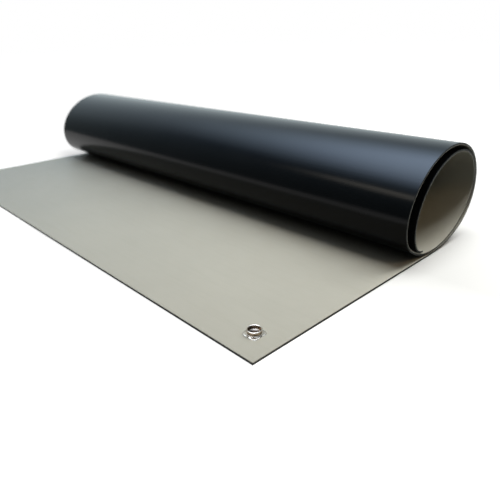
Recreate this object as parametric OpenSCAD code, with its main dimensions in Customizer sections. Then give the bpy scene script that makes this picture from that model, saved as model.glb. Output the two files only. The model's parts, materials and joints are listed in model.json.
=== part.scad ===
/* Two-layer static-dissipative bench mat, part unrolled, with a grounding snap stud in each
   front corner. Millimetres and degrees.
   Frame: +Z up, +X along the width (the axis of the roll), +Y from the front edge to the roll.
   Origin: centre of the flat underside.
   The rolled part is a chain of rigid strips, each an exact arc of both layers. The hinge lines
   lie on the black outer face, so the chain opens to one flat sheet.
   Left and right of the roll are as seen from +X: right is +Y. The right stud is the +X one. */

/* [Mat] */
// Width of the mat, along the axis of the roll
mat_w = 600; // [400:10:1200]
// Length of the part that lies flat
flat_l = 209.6; // [150:0.1:400]
// Thickness of the black conductive base layer
base_t = 1.4; // [1:0.1:1.6]
// Thickness of the grey dissipative top layer
top_t = 0.6; // [0.4:0.1:0.8]

/* [Outer turn, radius of the middle of the sheet] */
// Radius where the sheet leaves the bench
outer_heel_r = 147.4; // [145.9:0.1:148.9]
// Radius of the lower right bend
outer_low_right_r = 45.7; // [45.2:0.1:46.2]
// Radius of the right side
outer_right_r = 35.2; // [34.8:0.1:35.6]
// Radius of the crown
outer_crown_r = 46; // [45.5:0.1:46.5]
// Radius of the left shoulder
outer_shoulder_r = 78.9; // [78.1:0.1:79.7]
// Radius of the left side
outer_left_r = 37; // [36.6:0.1:37.4]
// Radius of the lower left bend
outer_foot_r = 23.9; // [23.7:0.1:24.1]

/* [Inner turn, radius of the middle of the sheet] */
// Radius over the heel of the outer turn
inner_heel_r = 82.4; // [81.6:0.1:83.2]
// Radius of the lower right bend
inner_low_right_r = 67.9; // [67.2:0.1:68.6]
// Radius of the right side
inner_right_r = 31.1; // [30.8:0.1:31.4]
// Radius of the crown
inner_crown_r = 32.1; // [31.8:0.1:32.4]
// Radius of the left shoulder
inner_shoulder_r = 67.4; // [66.7:0.1:68.1]
// Radius of the left side
inner_left_r = 45.3; // [44.8:0.1:45.8]
// Radius of the lower left bend
inner_foot_r = 13.3; // [13.2:0.1:13.4]
// Radius at the inner end of the sheet
inner_end_r = 14.5; // [14.4:0.1:14.6]

/* [Grounding studs] */
// Distance from a side edge to the centre of a stud
stud_in_x = 21; // [12:0.5:60]
// Distance from the front edge to the centre of a stud
stud_in_y = 22; // [12:0.5:60]
// Diameter of the snap head
head_d = 10.6; // [10:0.1:11]
// Diameter across the lobes of the contact washer
lobe_span_d = 16; // [15.6:0.1:16.4]
// Diameter of the backing washer under the mat
backing_d = 12; // [11:0.1:13]

/* [Strips of the rolled part] */
// Rise of every strip above its own chord; small radii get short strips
strip_rise = 1.513; // [1.49:0.001:1.53]
// Gap left at each side of a strip boundary
seam_gap = 0.02; // [0.01:0.01:0.05]

/* [Hidden] */
$fn = 96;
strip_count = 24; // hinged strips; strip 0 is a half strip fixed to the flat part
mat_t = base_t + top_t;
front_y = -flat_l / 2;
overcut = 1; // how far a cutter passes a face

grey = [0.66, 0.67, 0.62];
black = [0.07, 0.075, 0.085];
nickel = [0.78, 0.77, 0.74];
brass = [0.76, 0.62, 0.42];

// Stud: mat hole, washers and eyelet
hole_r = 2.6;
washer_bore_r = hole_r - 0.05;
backing_t = 0.3;
recess_d = backing_d + 0.3; // clears the backing washer
contact_t = 0.4;
lobe_r = 3;
contact_disc_d = lobe_span_d - 3.8;
flange_r = 4;
flange_t = 0.3;
barrel_r = hole_r - 0.15;
eyelet_bore_r = 2;
eyelet_bore_h = 12;
rim_r = 0.36; // section of the rolled-over end
rim_centre_r = hole_r + 0.1;

// Stud: drawn snap stud
floor_t = 0.35;
head_r = head_d / 2;
head_wall = 1.0;
head_band_h = 0.6; // straight band between the rounded ends of the head
neck_r = head_r - 0.55;
neck_h = 2.2;
floor_r = head_r + 0.6;
stud_cut_h = 10;

// Stud: levels above the underside
stud_z = mat_t + contact_t;
floor_top_z = stud_z + floor_t;
barrel_top_z = floor_top_z + 0.4;
rim_z = floor_top_z + 0.37;
head_z = stud_z + neck_h; // lower end of the straight band

// ---- Path of the roll ----

// [heading, radius of the middle of the sheet]; heading turns from +Y up towards +Z
HEADING_RADIUS = [
    [0, outer_heel_r],
    [36, outer_low_right_r],
    [78, outer_right_r],
    [140, outer_crown_r],
    [205, outer_shoulder_r],
    [262, outer_left_r],
    [310, outer_foot_r],
    [360, inner_heel_r],
    [396, inner_low_right_r],
    [438, inner_right_r],
    [500, inner_crown_r],
    [565, inner_shoulder_r],
    [622, inner_left_r],
    [670, inner_foot_r],
    [720, inner_end_r]
];

// radius of the black outer face at a heading
function outer_face_r(heading) = mat_t / 2 + lookup(heading, HEADING_RADIUS);

// half the turning of a strip centred at a heading, from its rise
function half_turn(heading) = acos(1 - strip_rise / outer_face_r(heading));

// centre heading of the strip that begins at start; the half turn depends on
// the centre itself, so the estimate is refined in four steps
function strip_centre(start, guess, steps = 4) =
    steps == 0 ? guess : strip_centre(start, start + half_turn(guess), steps - 1);

// heading where strip k starts
function start_heading(k) =
    k == 0 ? 0 :
    k == 1 ? half_turn(0) :
    let (previous = start_heading(k - 1))
    2 * strip_centre(previous, previous) - previous;

// strip k runs from HEADINGS[k] to HEADINGS[k + 1]
HEADINGS = [for (k = [0 : strip_count + 1]) start_heading(k)];

// outer radius of strip k; strip 0 is centred on heading 0
function strip_r(k) = outer_face_r(k == 0 ? 0 : (HEADINGS[k] + HEADINGS[k + 1]) / 2);

// [y, z] from the centre of an arc to its point at a heading
function arc_point(radius, heading) = radius * [sin(heading), -cos(heading)];

// [y, z] of the hinge on the outer face where strip k starts
function hinge(k) =
    k == 0 ? [front_y + flat_l, 0] :
    let (radius = strip_r(k - 1))
    hinge(k - 1) + arc_point(radius, HEADINGS[k]) - arc_point(radius, HEADINGS[k - 1]);

// one layer of strip k, between two depths inward from the outer face
module arc_layer(k, depth_from, depth_to) {
    radius = strip_r(k);
    centre = hinge(k) - arc_point(radius, HEADINGS[k]);
    trim = seam_gap / radius * 180 / PI;
    // the joint with the flat part and the inner end of the sheet have no gap
    start = HEADINGS[k] + (k == 0 ? 0 : trim);
    end = HEADINGS[k + 1] - (k == strip_count ? 0 : trim);
    translate([0, centre[0], centre[1]])
        rotate([90, 0, 90])
            rotate([0, 0, start - 90])
                rotate_extrude(angle = end - start)
                    translate([radius - depth_to, -mat_w / 2])
                        square([depth_to - depth_from, mat_w]);
}

module base_strip(k) color(black) arc_layer(k, 0, base_t);
module top_strip(k) color(grey) arc_layer(k, base_t, mat_t);

// ---- Flat part, each layer with its half strip ----

// side is 1 for the right (+X) stud, -1 for the left
module at_stud(side)
    translate([side * (mat_w / 2 - stud_in_x), front_y + stud_in_y, 0]) children();

// cutter for a round hole through a plate that stands on z = 0
module through_hole(radius, thickness)
    translate([0, 0, -overcut]) cylinder(r = radius, h = thickness + 2 * overcut);

module flat_layer(depth_from, depth_to) {
    translate([-mat_w / 2, front_y, depth_from]) cube([mat_w, flat_l, depth_to - depth_from]);
    arc_layer(0, depth_from, depth_to);
}

module flat_base() color(black) difference() {
    union() flat_layer(0, base_t);
    for (side = [-1, 1]) {
        at_stud(side) through_hole(hole_r, mat_t);
        // recess for the eyelet flange and the backing washer
        at_stud(side) translate([0, 0, -overcut])
            cylinder(d = recess_d, h = overcut + flange_t + backing_t);
    }
}

module flat_top() color(grey) difference() {
    union() flat_layer(base_t, mat_t);
    for (side = [-1, 1]) at_stud(side) through_hole(hole_r, mat_t);
}

// ---- Grounding studs ----

// thin washer clamped under the mat by the eyelet flange
module backing(side) color(nickel) at_stud(side) translate([0, 0, flange_t]) difference() {
    cylinder(d = backing_d, h = backing_t);
    through_hole(washer_bore_r, backing_t);
}

// flange below, barrel through the mat, end rolled over inside the snap stud
module eyelet(side) color(brass) at_stud(side) difference() {
    union() {
        cylinder(r = flange_r, h = flange_t);
        cylinder(r = barrel_r, h = barrel_top_z);
        translate([0, 0, rim_z])
            rotate_extrude() translate([rim_centre_r, 0]) circle(r = rim_r);
    }
    translate([0, 0, -overcut]) cylinder(r = eyelet_bore_r, h = eyelet_bore_h);
}

// washer with four lobes, pressed on the grey face
module contact(side) color(nickel) at_stud(side) translate([0, 0, mat_t]) difference() {
    union() {
        cylinder(d = contact_disc_d, h = contact_t);
        for (i = [0:3])
            rotate([0, 0, 45 + 90 * i])
                translate([lobe_span_d / 2 - lobe_r, 0, 0])
                    cylinder(r = lobe_r, h = contact_t);
    }
    through_hole(washer_bore_r, contact_t);
}

// drawn snap stud: floor, neck and rolled head
module stud(side) color(nickel) at_stud(side) {
    difference() {
        union() {
            translate([0, 0, stud_z]) cylinder(r = floor_r, h = floor_t);
            translate([0, 0, stud_z]) cylinder(r = neck_r, h = neck_h);
        }
        translate([0, 0, stud_z - overcut]) cylinder(r = washer_bore_r, h = stud_cut_h);
        translate([0, 0, floor_top_z]) cylinder(r = head_r - head_wall, h = stud_cut_h);
    }
    translate([0, 0, head_z]) rotate_extrude() {
        translate([head_r - head_wall, 0]) square([head_wall, head_band_h]);
        for (y = [0, head_band_h])
            translate([head_r - head_wall / 2, y]) circle(r = head_wall / 2);
    }
}

// ---- Nodes ----

module stud_right() stud(1);
module contact_washer_right() contact(1);
module eyelet_right() eyelet(1);
module backing_washer_right() backing(1);
module stud_left() stud(-1);
module contact_washer_left() contact(-1);
module eyelet_left() eyelet(-1);
module backing_washer_left() backing(-1);

module curl_base_01() base_strip(1);
module curl_top_01() top_strip(1);
module curl_base_02() base_strip(2);
module curl_top_02() top_strip(2);
module curl_base_03() base_strip(3);
module curl_top_03() top_strip(3);
module curl_base_04() base_strip(4);
module curl_top_04() top_strip(4);
module curl_base_05() base_strip(5);
module curl_top_05() top_strip(5);
module curl_base_06() base_strip(6);
module curl_top_06() top_strip(6);
module curl_base_07() base_strip(7);
module curl_top_07() top_strip(7);
module curl_base_08() base_strip(8);
module curl_top_08() top_strip(8);
module curl_base_09() base_strip(9);
module curl_top_09() top_strip(9);
module curl_base_10() base_strip(10);
module curl_top_10() top_strip(10);
module curl_base_11() base_strip(11);
module curl_top_11() top_strip(11);
module curl_base_12() base_strip(12);
module curl_top_12() top_strip(12);
module curl_base_13() base_strip(13);
module curl_top_13() top_strip(13);
module curl_base_14() base_strip(14);
module curl_top_14() top_strip(14);
module curl_base_15() base_strip(15);
module curl_top_15() top_strip(15);
module curl_base_16() base_strip(16);
module curl_top_16() top_strip(16);
module curl_base_17() base_strip(17);
module curl_top_17() top_strip(17);
module curl_base_18() base_strip(18);
module curl_top_18() top_strip(18);
module curl_base_19() base_strip(19);
module curl_top_19() top_strip(19);
module curl_base_20() base_strip(20);
module curl_top_20() top_strip(20);
module curl_base_21() base_strip(21);
module curl_top_21() top_strip(21);
module curl_base_22() base_strip(22);
module curl_top_22() top_strip(22);
module curl_base_23() base_strip(23);
module curl_top_23() top_strip(23);
module curl_base_24() base_strip(24);
module curl_top_24() top_strip(24);

flat_base();
flat_top();
stud_right();
contact_washer_right();
eyelet_right();
backing_washer_right();
stud_left();
contact_washer_left();
eyelet_left();
backing_washer_left();
curl_base_01();
curl_top_01();
curl_base_02();
curl_top_02();
curl_base_03();
curl_top_03();
curl_base_04();
curl_top_04();
curl_base_05();
curl_top_05();
curl_base_06();
curl_top_06();
curl_base_07();
curl_top_07();
curl_base_08();
curl_top_08();
curl_base_09();
curl_top_09();
curl_base_10();
curl_top_10();
curl_base_11();
curl_top_11();
curl_base_12();
curl_top_12();
curl_base_13();
curl_top_13();
curl_base_14();
curl_top_14();
curl_base_15();
curl_top_15();
curl_base_16();
curl_top_16();
curl_base_17();
curl_top_17();
curl_base_18();
curl_top_18();
curl_base_19();
curl_top_19();
curl_base_20();
curl_top_20();
curl_base_21();
curl_top_21();
curl_base_22();
curl_top_22();
curl_base_23();
curl_top_23();
curl_base_24();
curl_top_24();
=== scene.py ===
"""A two-layer rubber mat, flat at one end and rolled up at the other, with two press studs.

The black layer lies on the floor at z = 0 with the grey layer on top. The width runs along X.
The flat part runs from Y0 to Y1, and from Y1 the sheet curls up and over into a roll, black
face outward. The studs sit near the two corners of the flat end, at Y0. "Right" is +X.
Lengths are in mm and angles in degrees unless a comment says otherwise.
"""
import bmesh
import bpy
import json
import math
import numpy as np
from mathutils import Matrix, Vector


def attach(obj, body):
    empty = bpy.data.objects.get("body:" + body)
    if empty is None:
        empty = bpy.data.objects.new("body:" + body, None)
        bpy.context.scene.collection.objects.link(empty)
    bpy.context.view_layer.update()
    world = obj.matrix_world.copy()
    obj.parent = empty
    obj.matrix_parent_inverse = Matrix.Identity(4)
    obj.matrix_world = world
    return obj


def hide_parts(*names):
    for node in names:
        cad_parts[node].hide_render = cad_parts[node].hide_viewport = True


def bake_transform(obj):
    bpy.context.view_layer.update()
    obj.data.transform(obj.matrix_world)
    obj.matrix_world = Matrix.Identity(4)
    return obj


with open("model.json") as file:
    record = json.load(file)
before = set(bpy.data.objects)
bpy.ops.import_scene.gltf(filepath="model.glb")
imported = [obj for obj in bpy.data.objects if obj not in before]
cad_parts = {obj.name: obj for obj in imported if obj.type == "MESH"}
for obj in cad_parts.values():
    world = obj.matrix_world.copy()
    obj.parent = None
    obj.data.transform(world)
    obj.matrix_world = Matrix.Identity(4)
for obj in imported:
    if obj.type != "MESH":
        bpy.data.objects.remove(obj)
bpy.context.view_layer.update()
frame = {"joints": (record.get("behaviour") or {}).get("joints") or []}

MM = 0.001                       # metres in a millimetre

# ---------------------------------------------------------------- main sizes
WIDTH, THICK = 600.0, 2.0
BLACK_THICK = 1.4                # the grey layer takes the rest of the thickness
FLAT_LENGTH = 209.6
Y0 = -FLAT_LENGTH / 2            # free end of the flat part
Y1 = Y0 + FLAT_LENGTH            # where the curl starts
BEVEL = 0.14                     # on the free edges of both layers

STRIPS = 24                      # hinged strips in the curl
STRIP_RISE = 1.513               # sets how much a strip turns: rise over half its arc
STATION_STEP = 1.1               # most degrees between stations along a strip
# Heading of the sheet up from +Y, radius of its mid-thickness there
CURL = [(0, 147.4), (36, 45.7), (78, 35.2), (140, 46.0), (205, 78.9),
        (262, 37.0), (310, 23.9), (360, 82.4), (396, 67.9), (438, 31.1),
        (500, 32.1), (565, 67.4), (622, 45.3), (670, 13.3), (720, 14.5)]

STUD_X = WIDTH / 2 - 21.0        # studs at +STUD_X and -STUD_X
STUD_Y = Y0 + 22.0
HOLE_R = 2.6                     # through both layers
RECESS_R = 6.15                  # under the black layer, for the backing washer
BORE_R = 2.55                    # of the stud and both washers
FLANGE_TOP = 0.3                 # top of the eyelet's flange, under the backing washer
BACKING_TOP = 0.6                # top of the backing washer and of its recess
STUD_BASE = 2.4                  # underside of the stud
HOLE_SEGMENTS, LATHE_SEGMENTS = 96, 144


# ---------------------------------------------------------------- path of the curl
def radius_at(heading):
    """Radius of the black outer face."""
    return float(np.interp(heading, *zip(*CURL))) + THICK / 2


def half_turn_at(heading):
    return math.degrees(math.acos(1 - STRIP_RISE / radius_at(heading)))


# Strip 0 is the flat part's side of the first hinge; strip k runs from bound[k] to bound[k + 1].
middle, bound = [0.0], [0.0, half_turn_at(0)]
for _ in range(STRIPS):
    start = bound[-1]
    centre = start + half_turn_at(start)
    for _ in range(3):
        centre = start + half_turn_at(centre)
    middle.append(centre)
    bound.append(2 * centre - start)
radius = [radius_at(heading) for heading in middle]

hinge = [(Y1, 0.0)]              # (y, z) on the outer face at the start of each strip
for k in range(STRIPS):
    a, b = math.radians(bound[k]), math.radians(bound[k + 1])
    y, z = hinge[-1]
    hinge.append((y + radius[k] * (math.sin(b) - math.sin(a)),
                  z + radius[k] * (math.cos(a) - math.cos(b))))
for k in range(1, STRIPS + 1):
    _, joint_y, joint_z = frame["joints"][k - 1]["pos_m"]
    assert abs(joint_y / MM - hinge[k][0]) < 0.01, "strips and hinges differ"
    assert abs(joint_z / MM - hinge[k][1]) < 0.01, "strips and hinges differ"

arc_centre = [(hinge[k][0] - radius[k] * math.sin(math.radians(bound[k])),
               hinge[k][1] + radius[k] * math.cos(math.radians(bound[k])))
              for k in range(STRIPS + 1)]
arc_start = [0.0]                # length along the outer face at the start of each strip
for k in range(STRIPS):
    arc_start.append(arc_start[-1] + radius[k] * math.radians(bound[k + 1] - bound[k]))


def on_arc(k, depth, heading):
    """(y, z) on strip k at a depth inward from its outer face."""
    turn = math.radians(heading)
    r = radius[k] - depth
    return arc_centre[k][0] + r * math.sin(turn), arc_centre[k][1] - r * math.cos(turn)


# ---------------------------------------------------------------- shader nodes
class Shader:
    """Short calls for the nodes of one tree. Each gives back the new node's output."""

    def __init__(self, tree):
        self.tree = tree

    def put(self, sockets, values):
        """Links or sets sockets by name or index; colours get an alpha of 1."""
        for key, value in values.items():
            socket = sockets[key]
            if isinstance(value, bpy.types.NodeSocket):
                self.tree.links.new(value, socket)
            elif isinstance(value, tuple):
                socket.default_value = (*value, 1.0)[:len(socket.default_value)]
            else:
                socket.default_value = value

    def add(self, kind, inputs=None, output=0, **settings):
        node = self.tree.nodes.new("ShaderNode" + kind)
        for key, value in settings.items():
            setattr(node, key, value)
        self.put(node.inputs, inputs or {})
        return node.outputs[output]

    def noise(self, vector, scale, detail=3.0, rough=0.5):
        return self.add("TexNoise", {"Scale": scale, "Detail": detail, "Roughness": rough,
                                     "Vector": vector})

    def stretch(self, vector, scale):
        return self.add("Mapping", {"Scale": scale, "Vector": vector})

    def ramp(self, value, *stops):
        """Stops are (position, colour), where a single number is a grey."""
        output = self.add("ValToRGB", {"Fac": value})
        elements = output.node.color_ramp.elements
        while len(elements) > 1:
            elements.remove(elements[-1])
        for i, (position, colour) in enumerate(stops):
            element = elements[0] if i == 0 else elements.new(position)
            element.position = position
            rgb = colour if isinstance(colour, tuple) else (colour,) * 3
            element.color = (*rgb, 1.0)
        return output

    def math(self, operation, a, b):
        return self.add("Math", {0: a, 1: b}, operation=operation)

    def mix(self, share, a, b, blend="MIX"):
        return self.add("Mix", {0: share, 6: a, 7: b}, output=2, data_type="RGBA",
                        blend_type=blend)

    def tint(self, base, value, start, full, share, colour):
        """Lays a colour over the base where the value passes from start to full."""
        mask = self.ramp(value, (start, 0), (full, 1))
        return self.mix(self.math("MULTIPLY", mask, share), base, colour)

    def bump(self, height, strength, distance, under=None):
        """Distance is in metres; under is the normal to build on."""
        inputs = {"Strength": strength, "Distance": distance, "Height": height}
        if under is not None:
            inputs["Normal"] = under
        return self.add("Bump", inputs)

    def dot(self, vector, direction):
        return self.add("VectorMath", {0: vector, 1: direction}, output="Value",
                        operation="DOT_PRODUCT")

    def sheet_uv(self):
        """Position on the unrolled sheet in metres: across, along."""
        return self.add("UVMap", uv_map="sheet")

    def object_position(self):
        return self.add("TexCoord", output="Object")

    def surface(self, values):
        self.put(self.tree.nodes["Principled BSDF"].inputs, values)


def new_material(name):
    made = bpy.data.materials.new(name)
    made.use_nodes = True
    return made, Shader(made.node_tree)


# ---------------------------------------------------------------- materials
def grey_rubber():
    made, s = new_material("grey dissipative rubber")
    uv = s.sheet_uv()
    patches = s.noise(uv, scale=9.0, detail=2.0)
    cloud = s.noise(uv, scale=60.0, rough=0.55)
    # streaks running across the sheet
    drag = s.noise(s.stretch(uv, (1.0, 14.0, 1.0)), scale=18.0, rough=0.6)
    grain = s.noise(uv, scale=2600.0, detail=2.0, rough=0.6)
    specks = s.noise(uv, scale=5200.0, detail=1.0)
    base = s.ramp(patches, (0.30, (0.394, 0.393, 0.344)), (0.70, (0.421, 0.419, 0.366)))
    base = s.tint(base, cloud, start=0.42, full=0.70, share=0.35, colour=(0.434, 0.435, 0.380))
    base = s.tint(base, drag, start=0.50, full=0.66, share=0.25, colour=(0.372, 0.373, 0.318))
    base = s.tint(base, specks, start=0.70, full=0.78, share=0.30, colour=(0.27, 0.265, 0.225))
    fine = s.bump(grain, strength=0.10, distance=0.00012)
    swell = s.noise(uv, scale=240.0, detail=2.0)
    s.surface({"Base Color": base,
               "Roughness": s.ramp(cloud, (0.35, 0.38), (0.70, 0.48)),
               "Normal": s.bump(swell, strength=0.05, distance=0.0006, under=fine),
               "Specular IOR Level": 0.09})
    return made


def black_rubber():
    made, s = new_material("black conductive rubber")
    uv = s.sheet_uv()
    cloud = s.noise(uv, scale=22.0, rough=0.55)
    drag = s.noise(s.stretch(uv, (1.0, 26.0, 1.0)), scale=16.0, detail=4.0, rough=0.6)
    grain = s.noise(uv, scale=1500.0, detail=2.0)
    base = s.ramp(cloud, (0.30, (0.0020, 0.0025, 0.0032)), (0.70, (0.0032, 0.0038, 0.0047)))
    cloud_rough, drag_rough, least_rough = 0.05, 0.06, 0.13
    rough = s.math("ADD", s.math("MULTIPLY", cloud, cloud_rough),
                   s.math("MULTIPLY", drag, drag_rough))
    fine = s.bump(grain, strength=0.035, distance=0.00008)
    s.surface({"Base Color": base,
               "Roughness": s.math("ADD", rough, least_rough),
               "Normal": s.bump(drag, strength=0.05, distance=0.0006, under=fine),
               "Specular IOR Level": 0.11})
    return made


def cut_edge(name, dark, light):
    made, s = new_material(name)
    position = s.stretch(s.object_position(), (1.0, 1.0, 1.0))
    grain = s.noise(position, scale=900.0, rough=0.6)
    s.surface({"Base Color": s.ramp(grain, (0.35, dark), (0.70, light)),
               "Roughness": 0.62,
               "Specular IOR Level": 0.12,
               "Normal": s.bump(grain, strength=0.25, distance=0.0001)})
    return made


def plated(name, clean, tarnished, least_rough):
    made, s = new_material(name)
    position = s.object_position()
    tarnish = s.noise(position, scale=420.0, detail=4.0, rough=0.6)
    fine = s.noise(s.stretch(position, (1.0, 1.0, 6.0)), scale=1500.0, rough=0.6)
    fine_rough = 0.14
    s.surface({"Base Color": s.ramp(tarnish, (0.35, clean), (0.72, tarnished)),
               "Metallic": 1.0,
               "Roughness": s.math("ADD", s.math("MULTIPLY", fine, fine_rough), least_rough),
               "Normal": s.bump(fine, strength=0.06, distance=0.00005)})
    return made


GREY, BLACK = grey_rubber(), black_rubber()
GREY_EDGE = cut_edge("grey cut edge", dark=(0.20, 0.205, 0.185), light=(0.27, 0.275, 0.25))
BLACK_EDGE = cut_edge("black cut edge", dark=(0.006, 0.009, 0.008), light=(0.014, 0.019, 0.017))
NICKEL = plated("bright nickel plate", clean=(0.46, 0.365, 0.275),
                tarnished=(0.37, 0.29, 0.22), least_rough=0.10)
WASHER = plated("nickel washer plate", clean=(0.41, 0.335, 0.255),
                tarnished=(0.33, 0.27, 0.205), least_rough=0.17)
# The eyelet's warm near-black colour is painted shade: a darkened copy of the stud's nickel that
# stands in for the shade inside the stud's hollow.
EYELET = plated("eyelet plate darkened as painted shade", clean=(0.13, 0.10, 0.08),
                tarnished=(0.10, 0.075, 0.06), least_rough=0.26)
ZINC = plated("zinc washer", clean=(0.44, 0.43, 0.41),
              tarnished=(0.36, 0.355, 0.34), least_rough=0.26)
BLACK_MATS, GREY_MATS = [BLACK, BLACK_EDGE], [GREY, GREY_EDGE]    # face, cut edge


# ---------------------------------------------------------------- objects
def link(name, data):
    made = bpy.data.objects.new(name, data)
    bpy.context.scene.collection.objects.link(made)
    return made


def new_object(name, verts, faces, mats, slots=None, normals=None, uvs=None, smooth=True):
    """Mesh object from points in mm; normals and uvs are per face corner."""
    mesh = bpy.data.meshes.new(name)
    mesh.from_pydata([tuple(v) for v in np.asarray(verts) * MM], [], faces)
    for mat in mats:
        mesh.materials.append(mat)
    mesh.polygons.foreach_set("material_index", slots or [0] * len(faces))
    mesh.polygons.foreach_set("use_smooth", [smooth] * len(faces))
    if uvs is not None:
        layer = mesh.uv_layers.new(name="sheet")
        layer.data.foreach_set("uv", np.asarray(uvs, np.float32).ravel() * MM)
    if normals is not None:
        mesh.normals_split_custom_set([tuple(n) for n in normals])
    mesh.update()
    return link(name, mesh)


def stand_in(piece):
    """Hides a CAD piece; a new object made here takes its place."""
    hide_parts(piece)


# ---------------------------------------------------------------- curled sheet
UV_SHIFT = 1000.0                # mm, keeps the sheet's UVs positive


def strip_piece(name, stations, depths, mats):
    """One layer along (strip, heading) stations, as a closed solid with exact arc normals.

    Side 0 is the outer face and side 1 the inner. The layer's free face is bevelled
    along both edges of the sheet.
    """
    free_side = 0 if depths[0] == 0 else 1
    edge, shoulder = WIDTH / 2, WIDTH / 2 - BEVEL
    xs = [-edge, -shoulder, *np.linspace(-shoulder, shoulder, 9)[1:-1], shoulder, edge]
    rows, columns = len(stations), len(xs)
    run = [arc_start[k] + radius[k] * math.radians(a - bound[k]) for k, a in stations]
    turns = [math.radians(a) for _, a in stations]
    verts, faces, slots, normals, uvs = [], [], [], [], []

    for side in (0, 1):
        for k, heading in stations:
            for j, x in enumerate(xs):
                depth = depths[side]
                if side == free_side and j in (0, columns - 1):
                    depth += BEVEL if side == 0 else -BEVEL
                verts.append((x, *on_arc(k, depth, heading)))

    def index(side, i, j):
        return (side * rows + i) * columns + j

    def radial(side, i):
        sign = 1.0 if side == 0 else -1.0
        return Vector((0.0, sign * math.sin(turns[i]), -sign * math.cos(turns[i])))

    def push(quad, corner_normals, slot, outward):
        """Adds a face, turned round if it would face inward."""
        p = [Vector(verts[index(*corner)]) for corner in quad]
        if (p[1] - p[0]).cross(p[2] - p[0]).dot(Vector(outward)) < 0:
            quad, corner_normals = quad[::-1], corner_normals[::-1]
        faces.append([index(*corner) for corner in quad])
        slots.append(slot)
        normals.extend(tuple(n) for n in corner_normals)
        uvs.extend((xs[j] + UV_SHIFT, run[i] + UV_SHIFT) for _, i, j in quad)

    # outer and inner faces
    for side in (0, 1):
        for j in range(columns - 1):
            for i in range(rows - 1):
                quad = [(side, i, j), (side, i + 1, j), (side, i + 1, j + 1), (side, i, j + 1)]
                corner_normals = []
                for _, row, column in quad:
                    normal = radial(side, row)
                    if side == free_side and column in (0, columns - 1):
                        sideways = Vector((-1.0 if column == 0 else 1.0, 0, 0))
                        normal = (normal + sideways).normalized()
                    corner_normals.append(normal)
                push(quad, corner_normals, 0, radial(side, i))
    # side edges
    for j, sign in ((0, -1.0), (columns - 1, 1.0)):
        for i in range(rows - 1):
            push([(0, i, j), (0, i + 1, j), (1, i + 1, j), (1, i, j)],
                 [(sign, 0, 0)] * 4, 1, (sign, 0, 0))
    # ends of the run
    for i, sign in ((0, -1.0), (rows - 1, 1.0)):
        normal = (0.0, sign * math.cos(turns[i]), sign * math.sin(turns[i]))
        for j in range(columns - 1):
            push([(0, i, j), (0, i, j + 1), (1, i, j + 1), (1, i, j)], [normal] * 4, 1, normal)
    return new_object(name, verts, faces, mats, slots, normals, uvs)


def arc_stations(k, a, b):
    count = max(4, int(math.ceil((b - a) / STATION_STEP)))
    return [(k, a + (b - a) * i / count) for i in range(count + 1)]


def run_of(j):
    """Stations from the middle of strip j to the middle of the next, or to the sheet's end."""
    first = arc_stations(j, middle[j], bound[j + 1])
    if j == STRIPS:
        return first
    return first + arc_stations(j + 1, bound[j + 1], middle[j + 1])[1:]


bodies = ["flat_mat"] + ["curl_%02d" % k for k in range(1, STRIPS + 1)]
for j in range(STRIPS + 1):
    for layer, depths, mats in (("base", (0.0, BLACK_THICK), BLACK_MATS),
                                ("top", (BLACK_THICK, THICK), GREY_MATS)):
        strip = strip_piece("sheet_%s_%02d" % (layer, j), run_of(j), depths, mats)
        stand_in("curl_%s_%02d" % (layer, min(j + 1, STRIPS)))
        if j < STRIPS:
            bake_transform(strip)
        else:
            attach(strip, bodies[STRIPS])


# ---------------------------------------------------------------- flat part
def punch(made, x, y, r, z_from, z_to):
    """Cuts a round upright hole and bakes it into the mesh."""
    n = HOLE_SEGMENTS
    verts = [(x + r * math.cos(2 * math.pi * s / n), y + r * math.sin(2 * math.pi * s / n), z)
             for z in (z_from, z_to) for s in range(n)]
    faces = [[s, (s + 1) % n, n + (s + 1) % n, n + s] for s in range(n)]
    faces += [list(range(n))[::-1], [n + s for s in range(n)]]
    cutter = new_object("cut", verts, faces, [], smooth=False)
    hole = made.modifiers.new("hole", "BOOLEAN")
    hole.operation, hole.solver, hole.object = "DIFFERENCE", "EXACT", cutter
    bpy.context.view_layer.update()
    graph = bpy.context.evaluated_depsgraph_get()
    mesh = bpy.data.meshes.new_from_object(made.evaluated_get(graph))
    made.modifiers.clear()
    made.data = mesh
    bpy.data.objects.remove(cutter)


def slab(name, rings, mats, holes):
    """Flat layer through (z, inset) rings, lowest first; the edge at Y1 is not inset."""
    verts, faces = [], [[3, 2, 1, 0]]
    for z, inset in rings:
        x, y = WIDTH / 2 - inset, Y0 + inset
        verts += [(-x, y, z), (x, y, z), (x, Y1, z), (-x, Y1, z)]
    for i in range(len(rings) - 1):
        for q in range(4):
            a, b = i * 4 + q, i * 4 + (q + 1) % 4
            faces.append([a, b, b + 4, a + 4])
    faces.append([(len(rings) - 1) * 4 + q for q in range(4)])
    made = new_object(name, verts, faces, mats, smooth=False)
    for hole in holes:
        punch(made, *hole)

    # the cuts replace the mesh, so its looks are set afresh
    mesh = made.data
    mesh.materials.clear()
    for mat in mats:
        mesh.materials.append(mat)
    layer = mesh.uv_layers.new(name="sheet")
    for poly in mesh.polygons:
        poly.use_smooth = False
        poly.material_index = 1 if abs(poly.normal.z) < 0.5 else 0
        for corner in poly.loop_indices:
            co = mesh.vertices[mesh.loops[corner].vertex_index].co
            layer.data[corner].uv = (co.x + UV_SHIFT * MM, co.y - Y1 * MM + UV_SHIFT * MM)
    return made


def stud_holes(r, z_from, z_to):
    return [(sign * STUD_X, STUD_Y, r, z_from, z_to) for sign in (-1, 1)]


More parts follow.
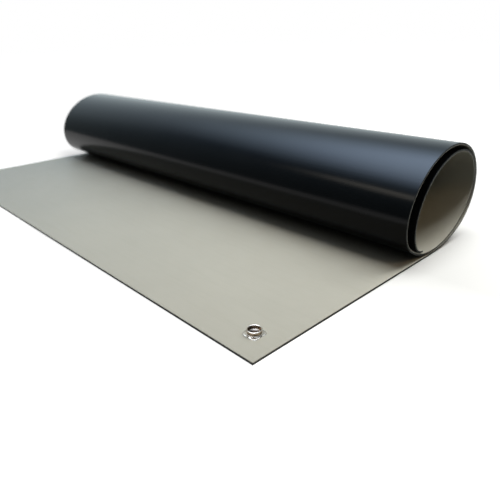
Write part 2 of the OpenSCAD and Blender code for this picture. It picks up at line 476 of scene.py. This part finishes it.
top_rings = [(BLACK_THICK, 0.0), (THICK - BEVEL, 0.0), (THICK, BEVEL)]
base_rings = [(0.0, BEVEL), (BEVEL, 0.0), (BLACK_THICK, 0.0)]
base_holes = stud_holes(HOLE_R, -1.0, 3.0) + stud_holes(RECESS_R, -1.0, BACKING_TOP)
for layer, rings, mats, holes in (("top", top_rings, GREY_MATS, stud_holes(HOLE_R, 1.0, 3.0)),
                                  ("base", base_rings, BLACK_MATS, base_holes)):
    flat = slab("sheet_flat_" + layer, rings, mats, holes)
    stand_in("flat_" + layer)
    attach(flat, "flat_mat")


# ---------------------------------------------------------------- hardware
def lathe(name, profile, cx, cy, mat, shape):
    """Closed (r, z) profile turned about an upright line; shape, if any, bends each point."""
    n = len(profile)
    verts, faces = [], []
    for s in range(LATHE_SEGMENTS):
        angle = 2 * math.pi * s / LATHE_SEGMENTS
        following = (s + 1) % LATHE_SEGMENTS
        for i, (r, z) in enumerate(profile):
            if shape:
                r = shape(r, angle)
            verts.append((cx + r * math.cos(angle), cy + r * math.sin(angle), z))
            j = (i + 1) % n
            faces.append([s * n + i, following * n + i, following * n + j, s * n + j])
    made = new_object(name, verts, faces, [mat])
    bm = bmesh.new()
    bm.from_mesh(made.data)
    bmesh.ops.recalc_face_normals(bm, faces=bm.faces)
    bm.to_mesh(made.data)
    bm.free()
    made.data.set_sharp_from_angle(angle=math.radians(38))
    return made


def fillet(points, steps=4):
    """Rounds the corners of a closed outline of (r, z, corner radius)."""
    out = []
    for i, (x, z, corner) in enumerate(points):
        p = Vector((x, z))
        before, after = Vector(points[i - 1][:2]), Vector(points[(i + 1) % len(points)][:2])
        u, v = (before - p).normalized(), (after - p).normalized()
        half = math.acos(u.dot(v)) / 2
        reach = min(corner / math.tan(half),
                    (before - p).length * 0.49, (after - p).length * 0.49)
        r = reach * math.tan(half)
        c = p + (u + v).normalized() * math.hypot(reach, r)
        start, end = p + u * reach - c, p + v * reach - c
        a = math.atan2(start.y, start.x)
        sweep = (math.atan2(end.y, end.x) - a + math.pi) % (2 * math.pi) - math.pi
        for q in range(steps + 1):
            t = a + sweep * q / steps
            out.append((c.x + r * math.cos(t), c.y + r * math.sin(t)))
    return out


def arc(cx, cz, r, a, b, steps):
    """Points from angle a to angle b, counted up from the +r direction."""
    angles = [math.radians(a + (b - a) * i / steps) for i in range(steps + 1)]
    return [(cx + r * math.cos(t), cz + r * math.sin(t)) for t in angles]


def stud_profile():
    z, foot, foot_r = STUD_BASE, 0.35, 5.72      # foot is its thickness
    roll_r, roll_at = 0.52, 4.78                 # rolled rim of the head
    roll_low, roll_high = 4.68, 5.2
    inside, inner_curve = roll_at - roll_r, 0.4
    return [(BORE_R, z), (foot_r, z),
            *arc(foot_r, z + foot / 2, foot / 2, -90, 90, 6),
            *arc(5.27, z + foot + 0.52, 0.52, -90, -180, 8),      # sweep up into the neck
            (4.75, z + 1.4),
            *arc(roll_at, roll_low, roll_r, -95, 0, 8),           # underside of the head
            *arc(roll_at, roll_high, roll_r, 0, 180, 16),         # top of the rim
            (inside, 4.4), (inside, z + 0.9),
            *arc(inside - inner_curve, z + foot + inner_curve, inner_curve, 0, -90, 6),
            (BORE_R, z + foot)]


def eyelet_profile():
    bore, barrel, flange = 2.0, 2.45, 4.0
    return [*fillet([(bore, 0.0, 0.2), (flange, 0.0, 0.12),
                     (flange, FLANGE_TOP, 0.12), (barrel, FLANGE_TOP, 0.05)]),
            (barrel, 2.78),
            *arc(2.72, 3.12, 0.33, -150, 90, 12),                 # rolled top
            (2.3, 3.42), (bore, 3.2)]


def washer_profile():
    """Contact washer lying on the grey face, with a ridge just inside its rim."""
    under = [BORE_R, 3.6, 4.6, 5.4, 6.1, 6.7]
    # radius, height above the grey face
    over = [(6.6, 0.37), (6.4, 0.43), (6.2, 0.50), (6.05, 0.55),
            (5.97, 0.55), (5.93, 0.38), (4.4, 0.38), (BORE_R, 0.38)]
    return [*((r, THICK) for r in under),
            *arc(6.78, THICK + 0.17, 0.17, -90, 90, 8),
            *((r, THICK + height) for r, height in over)]


def washer_lobes(r, angle):
    """Draws the rim out into four rounded corners on the diagonals."""
    round_r, mean_growth, lobe = 6.0, 0.10, 0.86     # growth is per mm beyond round_r
    wave = math.cos(4 * (angle - math.radians(45)))
    return r + max(0.0, r - round_r) * (mean_growth + lobe * wave)


def backing_profile():
    outer = 6.0
    return fillet([(BORE_R, FLANGE_TOP, 0.05), (outer, FLANGE_TOP, 0.1),
                   (outer, BACKING_TOP, 0.1), (BORE_R, BACKING_TOP, 0.05)])


# piece, profile, material, shape, slot
HARDWARE = (("stud", stud_profile(), NICKEL, None, "stud_metal"),
            ("contact_washer", washer_profile(), WASHER, washer_lobes, "stud_metal"),
            ("eyelet", eyelet_profile(), EYELET, None, "eyelet_metal"),
            ("backing_washer", backing_profile(), ZINC, None, "stud_metal"))
for side, sign in (("right", 1), ("left", -1)):
    for piece, profile, mat, shape, slot in HARDWARE:
        node = "%s_%s" % (piece, side)
        turned = lathe("detail_" + node, profile, sign * STUD_X, STUD_Y, mat, shape)
        stand_in(node)
        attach(turned, "flat_mat")


# ---------------------------------------------------------------- floor (metres)
def white_paper():
    """Pale paper that glows far from the mat, but only as seen directly or in reflections."""
    made, s = new_material("white paper")
    position = s.object_position()
    path = s.add("LightPath").node.outputs
    paper = s.ramp(s.noise(position, scale=3.0, detail=2.0),
                   (0.3, (0.635, 0.655, 0.66)), (0.7, (0.655, 0.675, 0.68)))
    seen = s.math("MAXIMUM", path["Is Camera Ray"], path["Is Glossy Ray"])
    bounce_colour = (0.12, 0.12, 0.115)

    # squared distance from the middle, raised toward -X and below near_y
    near_y, x_gain, y_gain, glow = 0.075, 0.6, 1.6, 0.9
    axes = s.add("SeparateXYZ", {"Vector": position}).node.outputs
    squares = [s.math("POWER", s.math("ABSOLUTE", axes[axis], 0.0), 2.0) for axis in "XY"]
    toward_x = s.math("MAXIMUM", s.math("MULTIPLY", axes["X"], -1.0), 0.0)
    toward_y = s.math("MAXIMUM", s.math("SUBTRACT", near_y, axes["Y"]), 0.0)
    far = s.math("ADD", *squares)
    far = s.math("ADD", far, s.math("MULTIPLY", toward_x, x_gain))
    far = s.math("ADD", far, s.math("MULTIPLY", toward_y, y_gain))
    lift = s.ramp(far, (0.10, 0.0), (0.38, 1.0))
    s.surface({"Base Color": s.mix(seen, bounce_colour, paper),
               "Roughness": 0.95,
               "Specular IOR Level": 0.0,
               "Emission Color": (1, 1, 1),
               "Emission Strength": s.math("MULTIPLY", s.math("MULTIPLY", lift, glow), seen)})
    return made


FLOOR_HALF = 6.0
floor_mesh = bpy.data.meshes.new("floor")
floor_mesh.from_pydata([(x * FLOOR_HALF, y * FLOOR_HALF, 0)
                        for x, y in ((-1, -1), (1, -1), (1, 1), (-1, 1))], [], [(0, 1, 2, 3)])
floor = link("floor", floor_mesh)
floor.location = (0, 0, -0.0002)     # just under the mat
floor_mesh.materials.append(white_paper())


# ---------------------------------------------------------------- world
def reflected_room(s, direction, height):
    """What shiny surfaces see: a cool softbox overhead, leaning to -X, in a dim room."""
    sky = s.ramp(s.dot(direction, (-0.168, 0.045, 0.985)),
                 (0.00, (0.12, 0.14, 0.15)), (0.35, (0.16, 0.20, 0.22)),
                 (0.60, (0.20, 0.27, 0.33)), (0.70, (0.20, 0.28, 0.38)),
                 (0.77, (0.60, 0.80, 1.05)), (0.83, (1.4, 1.85, 2.4)),
                 (0.88, (2.8, 3.6, 4.8)), (0.92, (4.6, 5.9, 7.8)),
                 (0.96, (6.6, 8.4, 11.0)), (1.0, (7.5, 9.5, 12.5)))
    # the camera's side of the room is darker
    near = s.ramp(s.dot(direction, (0.62, -0.78, 0.0)), (0.42, 1), (0.62, 0.36))
    # pale backdrop beyond the roll
    back = s.ramp(s.dot(direction, (-0.73, 0.685, 0.0)), (0.38, 0),
                  (0.60, (0.28, 0.32, 0.33)), (0.95, (0.50, 0.56, 0.57)))
    room = s.mix(1.0, sky, near, blend="MULTIPLY")
    room = s.mix(1.0, room, back, blend="ADD")
    # narrow warm streak: a band across the sky, faded at one end and near the horizon
    off_band = s.math("ABSOLUTE", s.dot(direction, (0.2551, 0.5611, 0.7875)), 0.0)
    band = s.ramp(off_band, (0.025, 1), (0.065, 0))
    along_band = s.math("MULTIPLY", s.dot(direction, (0.8090, -0.5699, 0.1440)), 1.0)
    end_fade = s.ramp(s.math("ADD", along_band, 0.5), (0.36, 0), (0.52, 1))
    streak = s.math("MULTIPLY", band, end_fade)
    streak = s.math("MULTIPLY", streak, s.ramp(height, (0.45, 0), (0.50, 1)))
    return s.mix(streak, room, (3.9, 3.7, 3.3))


def build_world():
    """Separate surroundings for reflections, for the camera and for soft fill light."""
    world = bpy.data.worlds.new("studio")
    bpy.context.scene.world = world
    world.use_nodes = True
    world.node_tree.nodes.clear()
    s = Shader(world.node_tree)
    path = s.add("LightPath").node.outputs
    direction = s.add("TexCoord", output="Generated")
    height = s.add("SeparateXYZ", {"Vector": direction}, output="Z")
    gloss = s.add("Background", {"Strength": 1.5,
                                 "Color": reflected_room(s, direction, height)})
    white = s.add("Background", {"Strength": 1.0, "Color": (1, 1, 1)})
    fill_colour = s.ramp(height, (0.0, 0.02), (0.35, 0.10), (0.65, 0.9), (0.85, 1.7), (1.0, 1.9))
    fill = s.add("Background", {"Strength": 0.15, "Color": fill_colour})
    lit = s.add("MixShader", {0: path["Is Glossy Ray"], 1: fill, 2: gloss})
    shown = s.add("MixShader", {0: path["Is Camera Ray"], 1: lit, 2: white})
    output = s.tree.nodes.new("ShaderNodeOutputWorld")
    s.put(output.inputs, {"Surface": shown})


build_world()


# ---------------------------------------------------------------- lights (metres, watts)
def area(name, location, target, size, power, colour):
    """Rectangular light aimed at a target, unseen in reflections."""
    light = bpy.data.lights.new(name, "AREA")
    light.shape = "RECTANGLE"
    light.size, light.size_y = size
    light.energy = power
    light.color = colour
    light.specular_factor = 0.0
    made = link(name, light)
    made.location = location
    aim = Vector(target) - Vector(location)
    made.rotation_euler = aim.to_track_quat("-Z", "Y").to_euler()
    made.visible_glossy = False


area("key", location=(0.325, 0.29, 0.60), target=(0.21, 0.0, 0.0), size=(0.26, 0.80),
     power=6.5, colour=(1.0, 0.985, 0.955))
area("side", location=(0.98, 0.08, 0.80), target=(0.27, 0.08, 0.03), size=(0.30, 0.30),
     power=1.0, colour=(1.0, 0.68, 0.34))


# ---------------------------------------------------------------- camera
def build_camera():
    """Looks down over the right-hand stud, along the mat toward -X and +Y."""
    position = Vector((470.019, Y0 - 159.749, 179.137)) * MM
    yaw, pitch, roll = (math.radians(a) for a in (46.74319, 24.14604, -1.47081))
    forward = Vector((-math.sin(yaw) * math.cos(pitch), math.cos(yaw) * math.cos(pitch),
                      -math.sin(pitch)))
    level = Vector((math.cos(yaw), math.sin(yaw), 0))
    upright = level.cross(forward)
    right = level * math.cos(roll) + upright * math.sin(roll)
    up = -level * math.sin(roll) + upright * math.cos(roll)

    data = bpy.data.cameras.new("camera")
    data.sensor_width = 36.0
    data.lens = 35.055216
    data.clip_start = 0.01
    data.clip_end = 50.0
    data.dof.use_dof = True
    data.dof.focus_distance = 0.34
    data.dof.aperture_fstop = 10.0
    camera = link("camera", data)
    rotation = Matrix((right, up, -forward)).transposed()
    camera.matrix_world = Matrix.Translation(position) @ rotation.to_4x4()
    bpy.context.scene.camera = camera


build_camera()
bpy.context.scene.view_settings.view_transform = "Standard"
bpy.context.scene.view_settings.look = "None"
